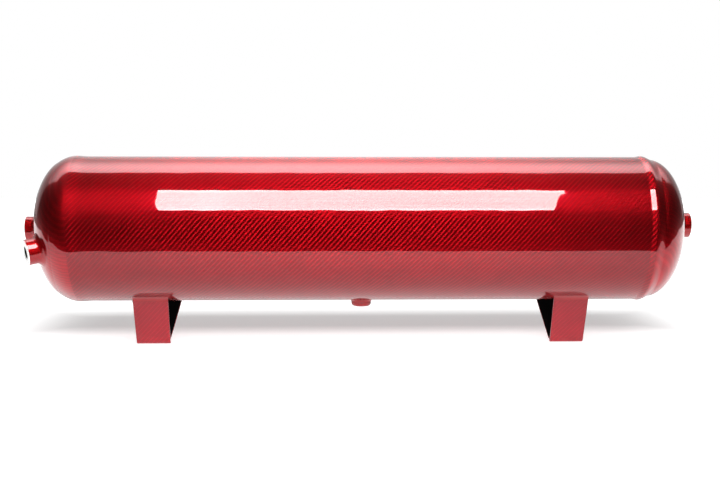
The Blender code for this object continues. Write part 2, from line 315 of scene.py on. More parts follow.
def paperMaterial(settings):
    # white paper whose own glow is painted light: lowest where the tank's shadow lies, a painted shadow, and
    # brighter away from the tank
    material, tree = emptyMaterial("whiteSweep")
    place = objectPlace(tree)
    x, y, _ = splitVector(tree, place)
    white, vary = settings["white"], settings["grainTone"]
    grain = noiseValue(tree, place, settings["grain"])
    tone = mapRange(tree, grain, 0, 1, white * (1 - vary), white * (1 + vary))
    across = mathNode(tree, "SUBTRACT", mathNode(tree, "ABSOLUTE", x), shellHalf)
    depth = mathNode(tree, "ABSOLUTE", mathNode(tree, "SUBTRACT", y, settings["shadowMiddle"]))
    away = mathNode(tree, "MAXIMUM", across, depth)
    low, middle, high = settings["glow"]
    # painted shadow: the glow is lowest where the tank's shadow lies and rises round it
    near = mapRange(tree, away, *settings["shadowReach"], low, middle, "SMOOTHSTEP")
    far = mapRange(tree, away, *settings["farReach"], 0.0, high - middle, "SMOOTHSTEP")
    inputs = {
        "Base Color": tone,
        "Roughness": settings["rough"],
        "Specular IOR Level": 0.0,
        "Emission Color": (1, 1, 1),
        "Emission Strength": mathNode(tree, "ADD", near, far),
    }
    finishMaterial(tree, addNode(tree, "ShaderNodeBsdfPrincipled", inputs))
    return material


def makeFloor(settings):
    # the tank mirrors only the sheet that it stands on
    material = paperMaterial(settings)
    half, edge, back = settings["half"], settings["front"], settings["widens"]
    left, right = settings["sides"]
    behind = [(half, back), (half, half), (-half, half), (-half, back)]
    sheets = {
        "sweepUnderTank": [(left, edge), (right, edge), *behind],
        "sweepTowardsCamera": [(-half, -half), (half, -half), (half, edge), (-half, edge)],
        "sweepLeft": [(-half, edge), (left, edge), (-half, back)],
        "sweepRight": [(right, edge), (half, edge), (half, back)],
    }
    for name, corners in sheets.items():
        mesh = bpy.data.meshes.new(name)
        mesh.from_pydata([(x, y, 0) for x, y in corners], [], [tuple(range(len(corners)))])
        mesh.materials.append(material)
        floor = linked(name, mesh)
        floor.visible_glossy = name == "sweepUnderTank"


makeWorld(studio)
makeSoftbox(softbox)
makeFill(fillLamp)
makeFloor(paper)
bpy.context.scene.view_settings.view_transform = "Standard"
print("studio ready")


# paint: a red clear coat over a two-by-two twill, laid out on each piece's own map in metres

weave = {
    "repeatAlong": 0.0059,  # four tows
    "repeatRound": fullTurn * shellRadius / 84,
    # the long and hoop tows are one red in a lighter and a darker copy: painted light for how each fibre
    # direction catches the light
    "longRed": (0.39, 0.0033, 0.0076),
    "hoopRed": (0.26, 0.0023, 0.0054),
    "plain": (0.30, 0.0030, 0.0046),
    # painted shade: each tow darker at its edges and lighter along its middle
    "towShade": (0.55, 1.10),  # at a tow's edge, and along its middle
    "towFull": 0.6,  # the height from which a tow is at its brightest
    "metal": 0.97,
    "rough": 0.58,
    "anisotropy": 0.95,
    "shine": 0.05,
    "towHeight": 0.00012,
    "towStrength": 0.08,
    "glaze": 0.06,  # share of the smooth red mirror under the coat
    "glazeRough": 0.06,
    "glazeColour": (0.85, 0.010, 0.060),
    "coatRough": 0.015,
    "coatIor": 1.5,
    "cloudScale": 45,
    "cloudTone": (0.93, 1.07),
    "lacquerScale": 28,
    "lacquerDepth": 0.00028,  # the slow waviness of sprayed lacquer
}
# the heads' twill shows less: closer tow reds, so less painted light between the tows, flatter painted
# tow-edge shade, and less anisotropy and tow bump
headWeave = {
    **weave,
    "longRed": (0.33, 0.0028, 0.0062),
    "hoopRed": (0.25, 0.0023, 0.0050),
    "rough": 0.42,
    "towShade": (0.88, 1.03),
    "anisotropy": 0.15,
    "towStrength": 0.05,
}
# the feet: a lighter, pinker copy of the twill reds, painted light for the white floor's glow on the legs,
# with closer tow reds and less painted tow-edge shade
footWeave = {
    **weave,
    "longRed": (0.46, 0.0046, 0.0150),
    "hoopRed": (0.38, 0.0038, 0.0125),
    "towShade": (0.75, 1.08),
}


def crown(tree, position):
    # 1 along the middle of a tow, 0 at its edges
    offset = mathNode(tree, "MULTIPLY_ADD", mathNode(tree, "FRACT", position), 2.0, -1.0)
    return mathNode(tree, "SUBTRACT", 1.0, mathNode(tree, "MULTIPLY", offset, offset))


def floatArch(tree, along, crossing, shift):
    # 0 where a tow dives under, 1 midway over the two tows that it floats across
    place = mathNode(tree, "SUBTRACT", along, mathNode(tree, "ADD", crossing, shift))
    share = mathNode(tree, "DIVIDE", mathNode(tree, "FLOORED_MODULO", place, 4.0), 2.0)
    return mathNode(tree, "SINE", mathNode(tree, "MULTIPLY", share, math.pi))


def twillNodes(tree, settings):
    # returns which tow is on top (1 is the one that runs round) and how high it stands
    x, y, _ = splitVector(tree, pieceMap(tree))
    along = mathNode(tree, "MULTIPLY", x, 4 / settings["repeatAlong"])
    hoop = mathNode(tree, "MULTIPLY", y, 4 / settings["repeatRound"])
    alongTow = mathNode(tree, "FLOOR", along)
    hoopTow = mathNode(tree, "FLOOR", hoop)
    step = mathNode(tree, "FLOORED_MODULO", mathNode(tree, "SUBTRACT", hoopTow, alongTow), 4.0)
    hoopOnTop = mathNode(tree, "LESS_THAN", step, 1.5)
    hoopHigh = mathNode(tree, "MULTIPLY", crown(tree, along), floatArch(tree, hoop, alongTow, 0.0))
    longHigh = mathNode(tree, "MULTIPLY", crown(tree, hoop), floatArch(tree, along, hoopTow, 1.0))
    gap = mathNode(tree, "SUBTRACT", hoopHigh, longHigh)
    return hoopOnTop, mathNode(tree, "MULTIPLY_ADD", hoopOnTop, gap, longHigh)


def twillLook(tree, settings, tone):
    # the stripes in two reds, which are painted light, their painted tow-edge shade, and the brushed gloss
    # of fibres that run two ways
    hoopOnTop, high = twillNodes(tree, settings)
    stripes = colourMix(tree, hoopOnTop, settings["longRed"], settings["hoopRed"])
    # painted shade at the tow edges, carried on in tone
    shade = mapRange(tree, high, 0, settings["towFull"], *settings["towShade"])
    tangent = tree.nodes.new("ShaderNodeTangent")
    tangent.direction_type = "UV_MAP"
    tangent.uv_map = mapName
    quarter = 0.25
    fibres = {
        "Anisotropic": settings["anisotropy"],
        "Anisotropic Rotation": mathNode(tree, "MULTIPLY_ADD", hoopOnTop, -quarter, quarter),
        "Tangent": tangent.outputs[0],
        "Normal": bumpNormal(tree, high, settings["towStrength"], settings["towHeight"]),
    }
    return stripes, mathNode(tree, "MULTIPLY", tone, shade), fibres


def candyMaterial(name, settings, twill):
    # a metallic base and a little smooth red mirror, both under one clear coat
    material, tree = emptyMaterial(name)
    place = objectPlace(tree)
    tone = noiseTone(tree, place, settings["cloudScale"], *settings["cloudTone"])
    colour, fibres = settings["plain"], {}
    if twill:
        # with the twill, tone also carries the painted shade at the tow edges
        colour, tone, fibres = twillLook(tree, settings, tone)
    lacquer = noiseValue(tree, place, settings["lacquerScale"], 1.0)
    lacquer = bumpNormal(tree, lacquer, 1.0, settings["lacquerDepth"])
    coat = {
        "Coat Weight": 1.0,
        "Coat Roughness": settings["coatRough"],
        "Coat IOR": settings["coatIor"],
        "Coat Normal": lacquer,
    }
    base = {
        "Base Color": colourMix(tree, 1.0, colour, tone, "MULTIPLY"),
        "Metallic": settings["metal"],
        "Roughness": settings["rough"],
        "Specular IOR Level": settings["shine"],
    }
    mirror = {
        "Base Color": colourMix(tree, 1.0, settings["glazeColour"], tone, "MULTIPLY"),
        "Metallic": 1.0,
        "Roughness": settings["glazeRough"],
        "Normal": lacquer,
    }
    under = addNode(tree, "ShaderNodeBsdfPrincipled", {**base, **fibres, **coat})
    glaze = addNode(tree, "ShaderNodeBsdfPrincipled", {**mirror, **coat})
    inputs = {0: settings["glaze"], 1: under.outputs[0], 2: glaze.outputs[0]}
    finishMaterial(tree, addNode(tree, "ShaderNodeMixShader", inputs))
    return material


def steelMaterial(name, settings):
    # machined face: fine turning marks that follow the piece's own map
    material, tree = emptyMaterial(name)
    stretch = addNode(tree, "ShaderNodeMapping", {"Vector": pieceMap(tree), "Scale": settings["marks"]})
    marks = noiseTone(tree, stretch.outputs[0], 1.0, 0, 1, 2.0)
    inputs = {
        "Base Color": colourMix(tree, marks, settings["low"], settings["high"]),
        "Metallic": settings["metal"],
        "Roughness": mapRange(tree, marks, 0, 1, *settings["rough"]),
        "Normal": bumpNormal(tree, marks, settings["markStrength"], settings["markDepth"]),
    }
    finishMaterial(tree, addNode(tree, "ShaderNodeBsdfPrincipled", inputs))
    return material


def darkMaterial(name, settings):
    # bare inside steel, and the near-black inside faces of the feet, which are painted shade
    material, tree = emptyMaterial(name)
    blotch = noiseTone(tree, objectPlace(tree), settings["scale"], 0, 1, 5.0)
    inputs = {
        "Base Color": colourMix(tree, blotch, settings["low"], settings["high"]),
        "Metallic": settings["metal"],
        "Roughness": mapRange(tree, blotch, 0, 1, *settings["rough"]),
        "Specular IOR Level": settings["shine"],
    }
    finishMaterial(tree, addNode(tree, "ShaderNodeBsdfPrincipled", inputs))
    return material


steel = {
    "low": (0.66, 0.66, 0.65),
    "high": (0.94, 0.94, 0.93),
    "metal": 0.30,
    "rough": (0.28, 0.42),
    "marks": (5200, 60, 1),  # across them, and along them
    "markStrength": 0.4,
    "markDepth": 0.00004,
}
# painted shade: the feet's inside faces, darker than any paint, stand for the shade inside each foot
paintedFootShadeLook = {
    "low": (0.0012, 0.0012, 0.0013),
    "high": (0.0030, 0.0030, 0.0032),
    "rough": (0.75, 0.95),
    "metal": 0.0,
    "shine": 0.05,
    "scale": 90,
}
insideSteel = {
    "low": (0.030, 0.026, 0.024),
    "high": (0.075, 0.070, 0.066),
    "rough": (0.45, 0.75),
    "metal": 0.6,
    "shine": 0.3,
    "scale": 60,
}
boreSteel = {
    "low": (0.010, 0.010, 0.010),
    "high": (0.055, 0.053, 0.050),
    "rough": (0.35, 0.60),
    "metal": 0.8,
    "shine": 0.3,
    "scale": 700,
}

candyTwill = candyMaterial("candyTwill", weave, True)
candyHead = candyMaterial("candyHead", headWeave, True)
# candyFoot is the lighter, pinker copy: painted light on the feet
candyFoot = candyMaterial("candyFoot", footWeave, True)
candyPlain = candyMaterial("candyPlain", weave, False)
machinedSteel = steelMaterial("machinedSteel", steel)
paintedFootShade = darkMaterial("paintedFootShade", paintedFootShadeLook)
tankInside = darkMaterial("tankInside", insideSteel)
threadSteel = darkMaterial("threadSteel", boreSteel)
print("finishes ready")


# making meshes


def baked(obj, name):
    # the evaluated shape as a plain mesh on a fresh object at the origin
    bpy.context.view_layer.update()
    graph = bpy.context.evaluated_depsgraph_get()
    mesh = bpy.data.meshes.new_from_object(obj.evaluated_get(graph))
    old = obj.data
    bpy.data.objects.remove(obj)
    bpy.data.meshes.remove(old)
    mesh.name = name
    finishes = [material for material in mesh.materials if material]
    if len(finishes) == 1:  # node trees leave an empty slot before their own
        mesh.materials.clear()
        mesh.materials.append(finishes[0])
    return linked(name, mesh)


def cleaned(obj, sharpAngle=40):
    shape = bmesh.new()
    shape.from_mesh(obj.data)
    bmesh.ops.remove_doubles(shape, verts=shape.verts, dist=mergeGap)
    bmesh.ops.recalc_face_normals(shape, faces=shape.faces)
    shape.to_mesh(obj.data)
    shape.free()
    obj.data.shade_smooth()
    obj.data.set_sharp_from_angle(angle=math.radians(sharpAngle))
    return obj


def nodeGroup(name, inputs):
    tree = bpy.data.node_groups.new(name, "GeometryNodeTree")
    tree.is_modifier = True
    tree.interface.new_socket("Geometry", in_out="INPUT", socket_type="NodeSocketGeometry")
    for label, kind in inputs:
        tree.interface.new_socket(label, in_out="INPUT", socket_type="NodeSocket" + kind)
    tree.interface.new_socket("Geometry", in_out="OUTPUT", socket_type="NodeSocketGeometry")
    return tree, tree.nodes.new("NodeGroupInput"), tree.nodes.new("NodeGroupOutput")


def closeTree(tree, geometry, inside, outside):
    realize = addNode(tree, "GeometryNodeRealizeInstances", {0: geometry})
    inputs = {"Geometry": realize.outputs[0], "Material": inside.outputs["Material"]}
    paint = addNode(tree, "GeometryNodeSetMaterial", inputs)
    tree.links.new(paint.outputs[0], outside.inputs["Geometry"])
    return tree


def applyTree(name, mesh, tree, values):
    obj = linked(name, mesh)
    modifier = obj.modifiers.new(tree.name, "NODES")
    modifier.node_group = tree
    for item in tree.interface.items_tree:
        if item.in_out == "INPUT" and item.name in values:
            modifier[item.identifier] = values[item.name]
    return baked(obj, name)


def unitGrid(tree, columns, rows):
    # a flat grid, and each point's two places on it from -0.5 to 0.5
    inputs = {"Size X": 1, "Size Y": 1, "Vertices X": columns, "Vertices Y": rows}
    grid = addNode(tree, "GeometryNodeMeshGrid", inputs)
    x, y, _ = splitVector(tree, tree.nodes.new("GeometryNodeInputPosition").outputs[0])
    return grid.outputs["Mesh"], x, y


def placedPoints(tree, mesh, x, y, z):
    joined = addNode(tree, "ShaderNodeCombineXYZ", {"X": x, "Y": y, "Z": z})
    inputs = {"Geometry": mesh, "Position": joined.outputs[0]}
    return addNode(tree, "GeometryNodeSetPosition", inputs).outputs[0]


def makeTurnTree():
    # turns the points of its own mesh, (radius, 0, height), about Z
    tree, inside, outside = nodeGroup("turnedSkin", [("Steps", "Int"), ("Material", "Material")])
    outline = inside.outputs["Geometry"]
    rows = addNode(tree, "GeometryNodeAttributeDomainSize", {"Geometry": outline}).outputs["Point Count"]
    grid, x, y = unitGrid(tree, mathNode(tree, "ADD", inside.outputs["Steps"], 1), rows)
    lastRow = mathNode(tree, "SUBTRACT", rows, 1)
    row = mathNode(tree, "ROUND", mathNode(tree, "MULTIPLY", mathNode(tree, "ADD", y, 0.5), lastRow))
    angle = mathNode(tree, "MULTIPLY", x, fullTurn)
    sample = tree.nodes.new("GeometryNodeSampleIndex")
    sample.data_type = "FLOAT_VECTOR"
    here = tree.nodes.new("GeometryNodeInputPosition").outputs[0]
    fillInputs(tree, sample, {"Geometry": outline, "Value": here, "Index": row})
    radius, _, height = splitVector(tree, sample.outputs[0])
    turnedX = mathNode(tree, "MULTIPLY", radius, mathNode(tree, "COSINE", angle))
    turnedY = mathNode(tree, "MULTIPLY", radius, mathNode(tree, "SINE", angle))
    moved = placedPoints(tree, grid, turnedX, turnedY, height)
    weld = addNode(tree, "GeometryNodeMergeByDistance", {"Geometry": moved, "Distance": mergeGap})
    return closeTree(tree, weld.outputs[0], inside, outside)


turnTree = makeTurnTree()


def turned(name, points, place, steps, material):
    # points are (radius, height), in order
    mesh = bpy.data.meshes.new(name)
    mesh.from_pydata([(r, 0, h) for r, h in points], [(i, i + 1) for i in range(len(points) - 1)], [])
    obj = applyTree(name, mesh, turnTree, {"Steps": steps, "Material": material})
    obj.data.transform(place)
    return obj


def thickened(obj, wall, insideMaterial):
    obj.data.materials.append(insideMaterial)
    sheet = obj.modifiers.new("wall", "SOLIDIFY")
    sheet.thickness = wall
    sheet.offset = -1
    sheet.use_even_offset = True
    sheet.material_offset = 1
    sheet.material_offset_rim = 1
    return baked(obj, obj.name)


def outward(obj, centre):
    # an open skin's faces, turned to point away from the tank's middle line
    shape = bmesh.new()
    shape.from_mesh(obj.data)
    bmesh.ops.recalc_face_normals(shape, faces=shape.faces)
    face = max(shape.faces, key=lambda f: f.calc_area())
    way = face.calc_center_median() - centre
    if face.normal.dot(way) < 0:
        bmesh.ops.reverse_faces(shape, faces=shape.faces)
    shape.to_mesh(obj.data)
    shape.free()


holeGap = 0.0003  # round a bung
holeReach = 0.03  # along a bung's axis, so that the far wall stays whole


def openHole(obj, place, bungDiameter):
    # clears the faces over a port and draws the edge that is left on to the port's circle
    radius = bungDiameter / 2 + holeGap
    toLocal = place.inverted()
    shape = bmesh.new()
    shape.from_mesh(obj.data)
    near = []
    for face in shape.faces:
        local = [toLocal @ v.co for v in face.verts]
        if min(math.hypot(p.x, p.y) for p in local) < radius and abs(local[0].z) < holeReach:
            near.append(face)
    rim = {v for face in near for v in face.verts}
    bmesh.ops.delete(shape, geom=near, context="FACES")
    for vert in rim:
        if not vert.is_valid:
            continue
        local = toLocal @ vert.co
        reach = math.hypot(local.x, local.y)
        vert.co = place @ Vector((local.x * radius / reach, local.y * radius / reach, local.z))
    shape.to_mesh(obj.data)
    shape.free()


def facing(direction, origin):
    turn = Vector(direction).to_track_quat("Z", "Y").to_matrix().to_4x4()
    return Matrix.Translation(origin) @ turn


def endPlace(side, fromCentre):
    return facing((side, 0, 0), tankCentre + Vector((side * fromCentre, 0, 0)))


def layMap(obj, layout):
    # writes a map in metres; layout(point, middle of its face) gives the two distances
    mesh = obj.data
    layer = mesh.uv_layers.new(name=mapName)
    for face in mesh.polygons:
        middle = face.center
        for loop in face.loop_indices:
            layer.data[loop].uv = layout(mesh.vertices[mesh.loops[loop].vertex_index].co, middle)
    mesh.uv_layers.active = layer


def angleNear(base, angle):
    # the same angle, less than half a turn from base
    return base + (angle - base + math.pi) % fullTurn - math.pi


def roundMap(point, middle):
    # along the tank and round it, measured from level at the front, or flat across a head
    if abs(middle.x) > shellHalf:
        side = math.copysign(1, middle.x)
        return (-side * point.y, point.z - axisHeight)
    base = math.atan2(middle.z - axisHeight, -middle.y)
    here = math.atan2(point.z - axisHeight, -point.y)
    return (point.x, angleNear(base, here) * shellRadius)


portMapRadius = 0.012


def mapAbout(place):
    # out from a port's axis, and round it
    toLocal = place.inverted()

    def layout(point, middle):
        local, centre = toLocal @ point, toLocal @ middle
        here = angleNear(math.atan2(centre.y, centre.x), math.atan2(local.y, local.x))
        return (math.hypot(local.x, local.y) - local.z, here * portMapRadius)

    return layout


def keep(obj, slotName, *nodes):
    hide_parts(*nodes)
    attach(obj, "root")
    return obj


# shell: one rolled tube with a hole for the drain bung

shell = {
    "wall": 0.0028,
    "steps": 192,
    "coarseStep": 0.0240,
    "fineStep": 0.0035,
    "fineReach": 0.0260,  # each side of the drain bung
}
drain = {
    "diameter": 0.0250,
    "bore": 0.0111,
    "standout": 0.0082,
    "edge": 0.0045,
    "chamfer": 0.0008,
    "tail": shell["wall"] + 0.0015,
    "weldLeg": 0.0030,
    "ripples": 34,
}


def shellStations(settings):
    fine = settings["fineReach"]
    middle = list(np.arange(-fine, fine + 1e-6, settings["fineStep"]))
    count = math.ceil((shellHalf - fine) / settings["coarseStep"])
    side = list(np.linspace(fine, shellHalf, count + 1)[1:])
    return [-x for x in side[::-1]] + middle + side


drainPlace = facing((0, 0, -1), tankCentre - Vector((0, 0, shellRadius)))


def makeShell(settings):
    points = [(shellRadius, x) for x in shellStations(settings)]
    skin = turned("shellSkin", points, endPlace(1, 0), settings["steps"], candyTwill)
    outward(skin, tankCentre)
    openHole(skin, drainPlace, drain["diameter"])
    skin = cleaned(thickened(skin, settings["wall"], tankInside))
    layMap(skin, roundMap)
    return keep(skin, "candy_weave", "shell_tube")


makeShell(shell)
print("shell made")


# heads: an oval dome on a short straight flange that slips inside the shell

head = {
    "wall": 0.0030,
    "flange": 0.0220,
    "domeStart": 0.0090,
    "domeDepth": 0.0440,
    "rings": 44,
    "steps": 192,
}
port = {
    "diameter": 0.0310,
    "bore": 0.0146,
    "edge": 0.0009,
    "chamfer": 0.0008,
    "tail": 0.0050,
    "endStandout": 0.0122,
    "rightRise": 0.0040,
    "sideStandout": 0.0148,
    "sideOffset": 0.0620,
    "sideClock": math.radians(20),
    "weldLeg": 0.0055,
    "ripples": 40,
}


def domeHeight(distance):
    share = min(distance / flangeRadius, 1)
    return head["domeStart"] + head["domeDepth"] * math.sqrt(1 - share * share)


def endPortPlace(side, rise):
    reach = shellHalf + domeHeight(rise)
    return facing((side, 0, 0), tankCentre + Vector((side * reach, 0, rise)))


def sidePortPlace():
    offset = port["sideOffset"]
    rise = domeHeight(offset) - head["domeStart"]
    slope = Vector((offset / flangeRadius**2, rise / head["domeDepth"] ** 2)).normalized()
    out = Vector((0, -math.cos(port["sideClock"]), -math.sin(port["sideClock"])))
    start = tankCentre + Vector((-(shellHalf + domeHeight(offset)), 0, 0)) + offset * out
    return facing(Vector((-slope.y, 0, 0)) + slope.x * out, start)


portPlaces = {
    "leftCentre": (-1, endPortPlace(-1, 0), port["endStandout"], "left_centre_port"),
    "leftSide": (-1, sidePortPlace(), port["sideStandout"], "left_side_port"),
    "rightCentre": (1, endPortPlace(1, port["rightRise"]), port["endStandout"], "right_centre_port"),
}


def makeHead(name, side, node):
    points = []
    for i in range(head["rings"] + 1):
        angle = math.pi / 2 * i / head["rings"]
        height = head["domeStart"] + head["domeDepth"] * math.cos(angle)
        points.append((flangeRadius * math.sin(angle), height))
    points += [(flangeRadius, 0), (flangeRadius, -head["flange"])]
    skin = turned(name, points, endPlace(side, shellHalf), head["steps"], candyHead)
    outward(skin, tankCentre)
    for portSide, place, _, _ in portPlaces.values():
        if portSide == side:
            openHole(skin, place, port["diameter"])
    skin = cleaned(thickened(skin, head["wall"], tankInside))
    layMap(skin, roundMap)
    return keep(skin, "candy_weave", node)


makeHead("leftHeadSkin", -1, "left_head")
makeHead("rightHeadSkin", 1, "right_head")
print("heads made")


# girth welds: a ground and painted bead over the shell's edge, running down on to the head

girth = {
    "half": {-1: 0.0150, 1: 0.0075},  # the left one is ground flatter
    "rise": {-1: 0.0007, 1: 0.0011},
    "toe": {-1: 0.0220, 1: 0.0125},  # where it has run down to the head
    "embed": 0.0004,
    "sink": 0.00012,  # how far its toe dips under the head's skin
    "points": 12,
    "steps": 256,
}


def headRadiusAt(height):
    share = max(height - head["domeStart"], 0) / head["domeDepth"]
    return flangeRadius * math.sqrt(1 - share * share)


def girthProfile(settings, side):
    # the left side falls in one curve on to the head, the right one settles on it in a soft step
    half, rise, toe = settings["half"][side], settings["rise"][side], settings["toe"][side]
    top = shellRadius + rise
    points = []
    for i in range(settings["points"] + 1):
        share = i / settings["points"]
        swell = math.sin(math.pi / 2 * share) ** 2
        points.append((shellRadius + rise * swell, half * (share - 1)))
    low = headRadiusAt(toe) - settings["sink"]
    for i in range(1, settings["points"] + 1):
        share = i / settings["points"]
        if side < 0:
            points.append((top + (low - top) * share * share, toe * share))
        else:
            fall = share * share * (3 - 2 * share)
            skin = headRadiusAt(toe * share) - settings["sink"] * fall
            points.append((skin + (top - flangeRadius) * (1 - fall), toe * share))
    deep = settings["embed"]
    points.append((low - deep, toe))
    points.append((flangeRadius - deep, 0))
    points.append((shellRadius - deep, -deep))
    points.append((shellRadius - deep, -half))
    points.append(points[0])
    return points


def makeGirthWeld(name, side, node):
    bead = turned(name, girthProfile(girth, side), endPlace(side, shellHalf), girth["steps"], candyTwill)
    bead = cleaned(bead, 60)
    bead.data.materials.append(candyHead)
    for face in bead.data.polygons:
        if abs(face.center.x) > shellHalf:
            face.material_index = 1
    layMap(bead, roundMap)
    return keep(bead, "weld_paint", node)


makeGirthWeld("leftGirthBead", -1, "left_girth_weld")
makeGirthWeld("rightGirthBead", 1, "right_girth_weld")
print("girth welds made")


# ports: turned bungs with a painted side, a bare face and a threaded bore

bung = {
    "steps": 96,
    "edgeSteps": 6,
    "bareSlope": 0.25,  # a face counts as machined from this lean towards the end
}
thread = {
    "pitch": 0.00141,
    "crest": 0.42,  # share of the pitch
    "embed": 0.0001,
    "startIn": 0.0006,
    "endShort": 0.0014,  # of the bung's face
    "turnSteps": 48,
}
fillet = {
    "around": 160,
    "across": 10,
    "embed": 0.0006,  # into the bung
    "sink": 0.0012,  # under the surface that the bung stands on
    "ripple": 0.05,
}


def makeThreadTree(settings):
    inputs = [("Radius", "Float"), ("Pitch", "Float"), ("Turns", "Float"), ("Material", "Material")]
    tree, inside, outside = nodeGroup("threadTurns", inputs)
    sockets = inside.outputs
    spiral = {
        "Resolution": settings["turnSteps"],
        "Rotations": sockets["Turns"],
        "Start Radius": sockets["Radius"],
        "End Radius": sockets["Radius"],
        "Height": mathNode(tree, "MULTIPLY", sockets["Pitch"], sockets["Turns"]),
    }
    crest = {"Resolution": 4, "Radius": mathNode(tree, "MULTIPLY", sockets["Pitch"], settings["crest"])}
    sweep = {
        "Curve": addNode(tree, "GeometryNodeCurveSpiral", spiral).outputs[0],
        "Profile Curve": addNode(tree, "GeometryNodeCurvePrimitiveCircle", crest).outputs[0],
        "Fill Caps": True,
    }
    return closeTree(tree, addNode(tree, "GeometryNodeCurveToMesh", sweep).outputs[0], inside, outside)


threadTree = makeThreadTree(thread)


def makeThread(name, settings, place, standout):
    depth = standout + settings["tail"] - thread["startIn"] - thread["endShort"]
    values = {
        "Radius": settings["bore"] / 2 + thread["embed"],
        "Pitch": thread["pitch"],
        "Turns": depth / thread["pitch"],
        "Material": threadSteel,
    }
    obj = applyTree(name, bpy.data.meshes.new(name), threadTree, values)
    obj.data.transform(place @ Matrix.Translation((0, 0, thread["startIn"] - settings["tail"])))
    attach(obj, "root")
    return cleaned(obj, 25)


def bungProfile(settings, standout):
    outer, inner, edge = settings["diameter"] / 2, settings["bore"] / 2, settings["edge"]
    tail, chamfer = settings["tail"], settings["chamfer"]
    points = [(inner, -tail), (inner, standout - chamfer), (inner + chamfer, standout)]
    for i in range(bung["edgeSteps"] + 1):
        angle = math.pi / 2 * i / bung["edgeSteps"]
        points.append((outer - edge + edge * math.sin(angle), standout - edge + edge * math.cos(angle)))
    return points + [(outer, 0), (outer, -tail), (inner, -tail)]


def makeBung(name, settings, place, standout, bareFace):
    obj = cleaned(turned(name, bungProfile(settings, standout), place, bung["steps"], candyPlain), 50)
    obj.data.materials.append(machinedSteel)
    obj.data.materials.append(threadSteel)
    toLocal = place.inverted()
    turn = toLocal.to_3x3()
    bore = settings["bore"] / 2
    for face in obj.data.polygons:
        local, way = toLocal @ face.center, turn @ face.normal
        reach = math.hypot(local.x, local.y)
        if reach < bore + 0.1 * settings["chamfer"]:
            face.material_index = 2
        elif reach < bore + 0.9 * settings["chamfer"] or (way.z > bung["bareSlope"] and bareFace):
            face.material_index = 1
    layMap(obj, mapAbout(place))
    return obj


def dropOn(scale, centre, start, direction):
    # how far along direction the oval surface |scale * (p - centre)| = 1 lies from start
    a = Vector(scale[i] * direction[i] for i in range(3))
    b = Vector(scale[i] * (start[i] - centre[i]) for i in range(3))
    half, size = a.dot(b), a.length_squared
    return (-half + math.sqrt(half * half - size * (b.length_squared - 1))) / size


def filletSection(radius, leg):
    # (distance from the bung's axis, height, share of the ripple) round the fillet's section
    inner, sink = radius - fillet["embed"], fillet["sink"]
    section = [(inner, leg, 0), (inner, -sink, 0), (radius + leg, -sink, 0)]
    for j in range(fillet["across"] + 1):
        bend = math.pi / 2 * (1 - j / fillet["across"])
        section.append((radius + leg - leg * math.cos(bend), leg - leg * math.sin(bend), math.sin(2 * bend)))
    return section


def weldRing(name, settings, place, scale, centre):
    # a hollow fillet that follows the surface that the bung stands on
    basis = place.to_3x3()
    right, up, out = basis.col[0], basis.col[1], basis.col[2]
    section = filletSection(settings["diameter"] / 2, settings["weldLeg"])
    around, count = fillet["around"], len(section)
    verts, faces = [], []
    for i in range(around):
        angle = fullTurn * i / around
        spoke = math.cos(angle) * right + math.sin(angle) * up
        wave = fillet["ripple"] * math.sin(settings["ripples"] * angle)
        for reach, height, swell in section:
            base = place.translation + reach * spoke
            verts.append(base + (dropOn(scale, centre, base, out) + height * (1 + wave * swell)) * out)
    for i in range(around):
        here, after = i * count, (i + 1) % around * count
        for j in range(count):
            k = (j + 1) % count
            faces.append((here + j, here + k, after + k, after + j))
    mesh = bpy.data.meshes.new(name)
    mesh.from_pydata(verts, [], faces)
    mesh.materials.append(candyPlain)
    ring = cleaned(linked(name, mesh), 60)
    layMap(ring, mapAbout(place))
    return ring


def domeShape(side):
    centre = tankCentre + Vector((side * (shellHalf + head["domeStart"]), 0, 0))
    return (1 / head["domeDepth"], 1 / flangeRadius, 1 / flangeRadius), centre


def makePort(name, settings, place, standout, node, surface, bareFace):
    keep(makeBung(name + "Bung", settings, place, standout, bareFace), "port_steel", node)
    makeThread(name + "Thread", settings, place, standout)
    keep(weldRing(name + "Fillet", settings, place, *surface), "weld_paint", node + "_weld")


for name, (side, place, standout, node) in portPlaces.items():
    makePort(name, port, place, standout, node, domeShape(side), True)
shellShape = ((0, 1 / shellRadius, 1 / shellRadius), tankCentre)
makePort("drain", drain, drainPlace, drain["standout"], "drain_port", shellShape, False)
print("ports made")


# long seam: a low rippled bead under the rear of the shell

seam = {
    "width": 0.0060,
    "rise": 0.0010,
    "clock": math.radians(55),  # from straight down, towards the rear
    "ripplePitch": 0.0024,
    "rippleDepth": 0.00012,
    "rippleLag": 0.7,  # of a ripple, from its crest to its edges
    "embed": 0.0002,
    "body": 0.0006,
    "rows": 9,
    "columns": 1400,
}


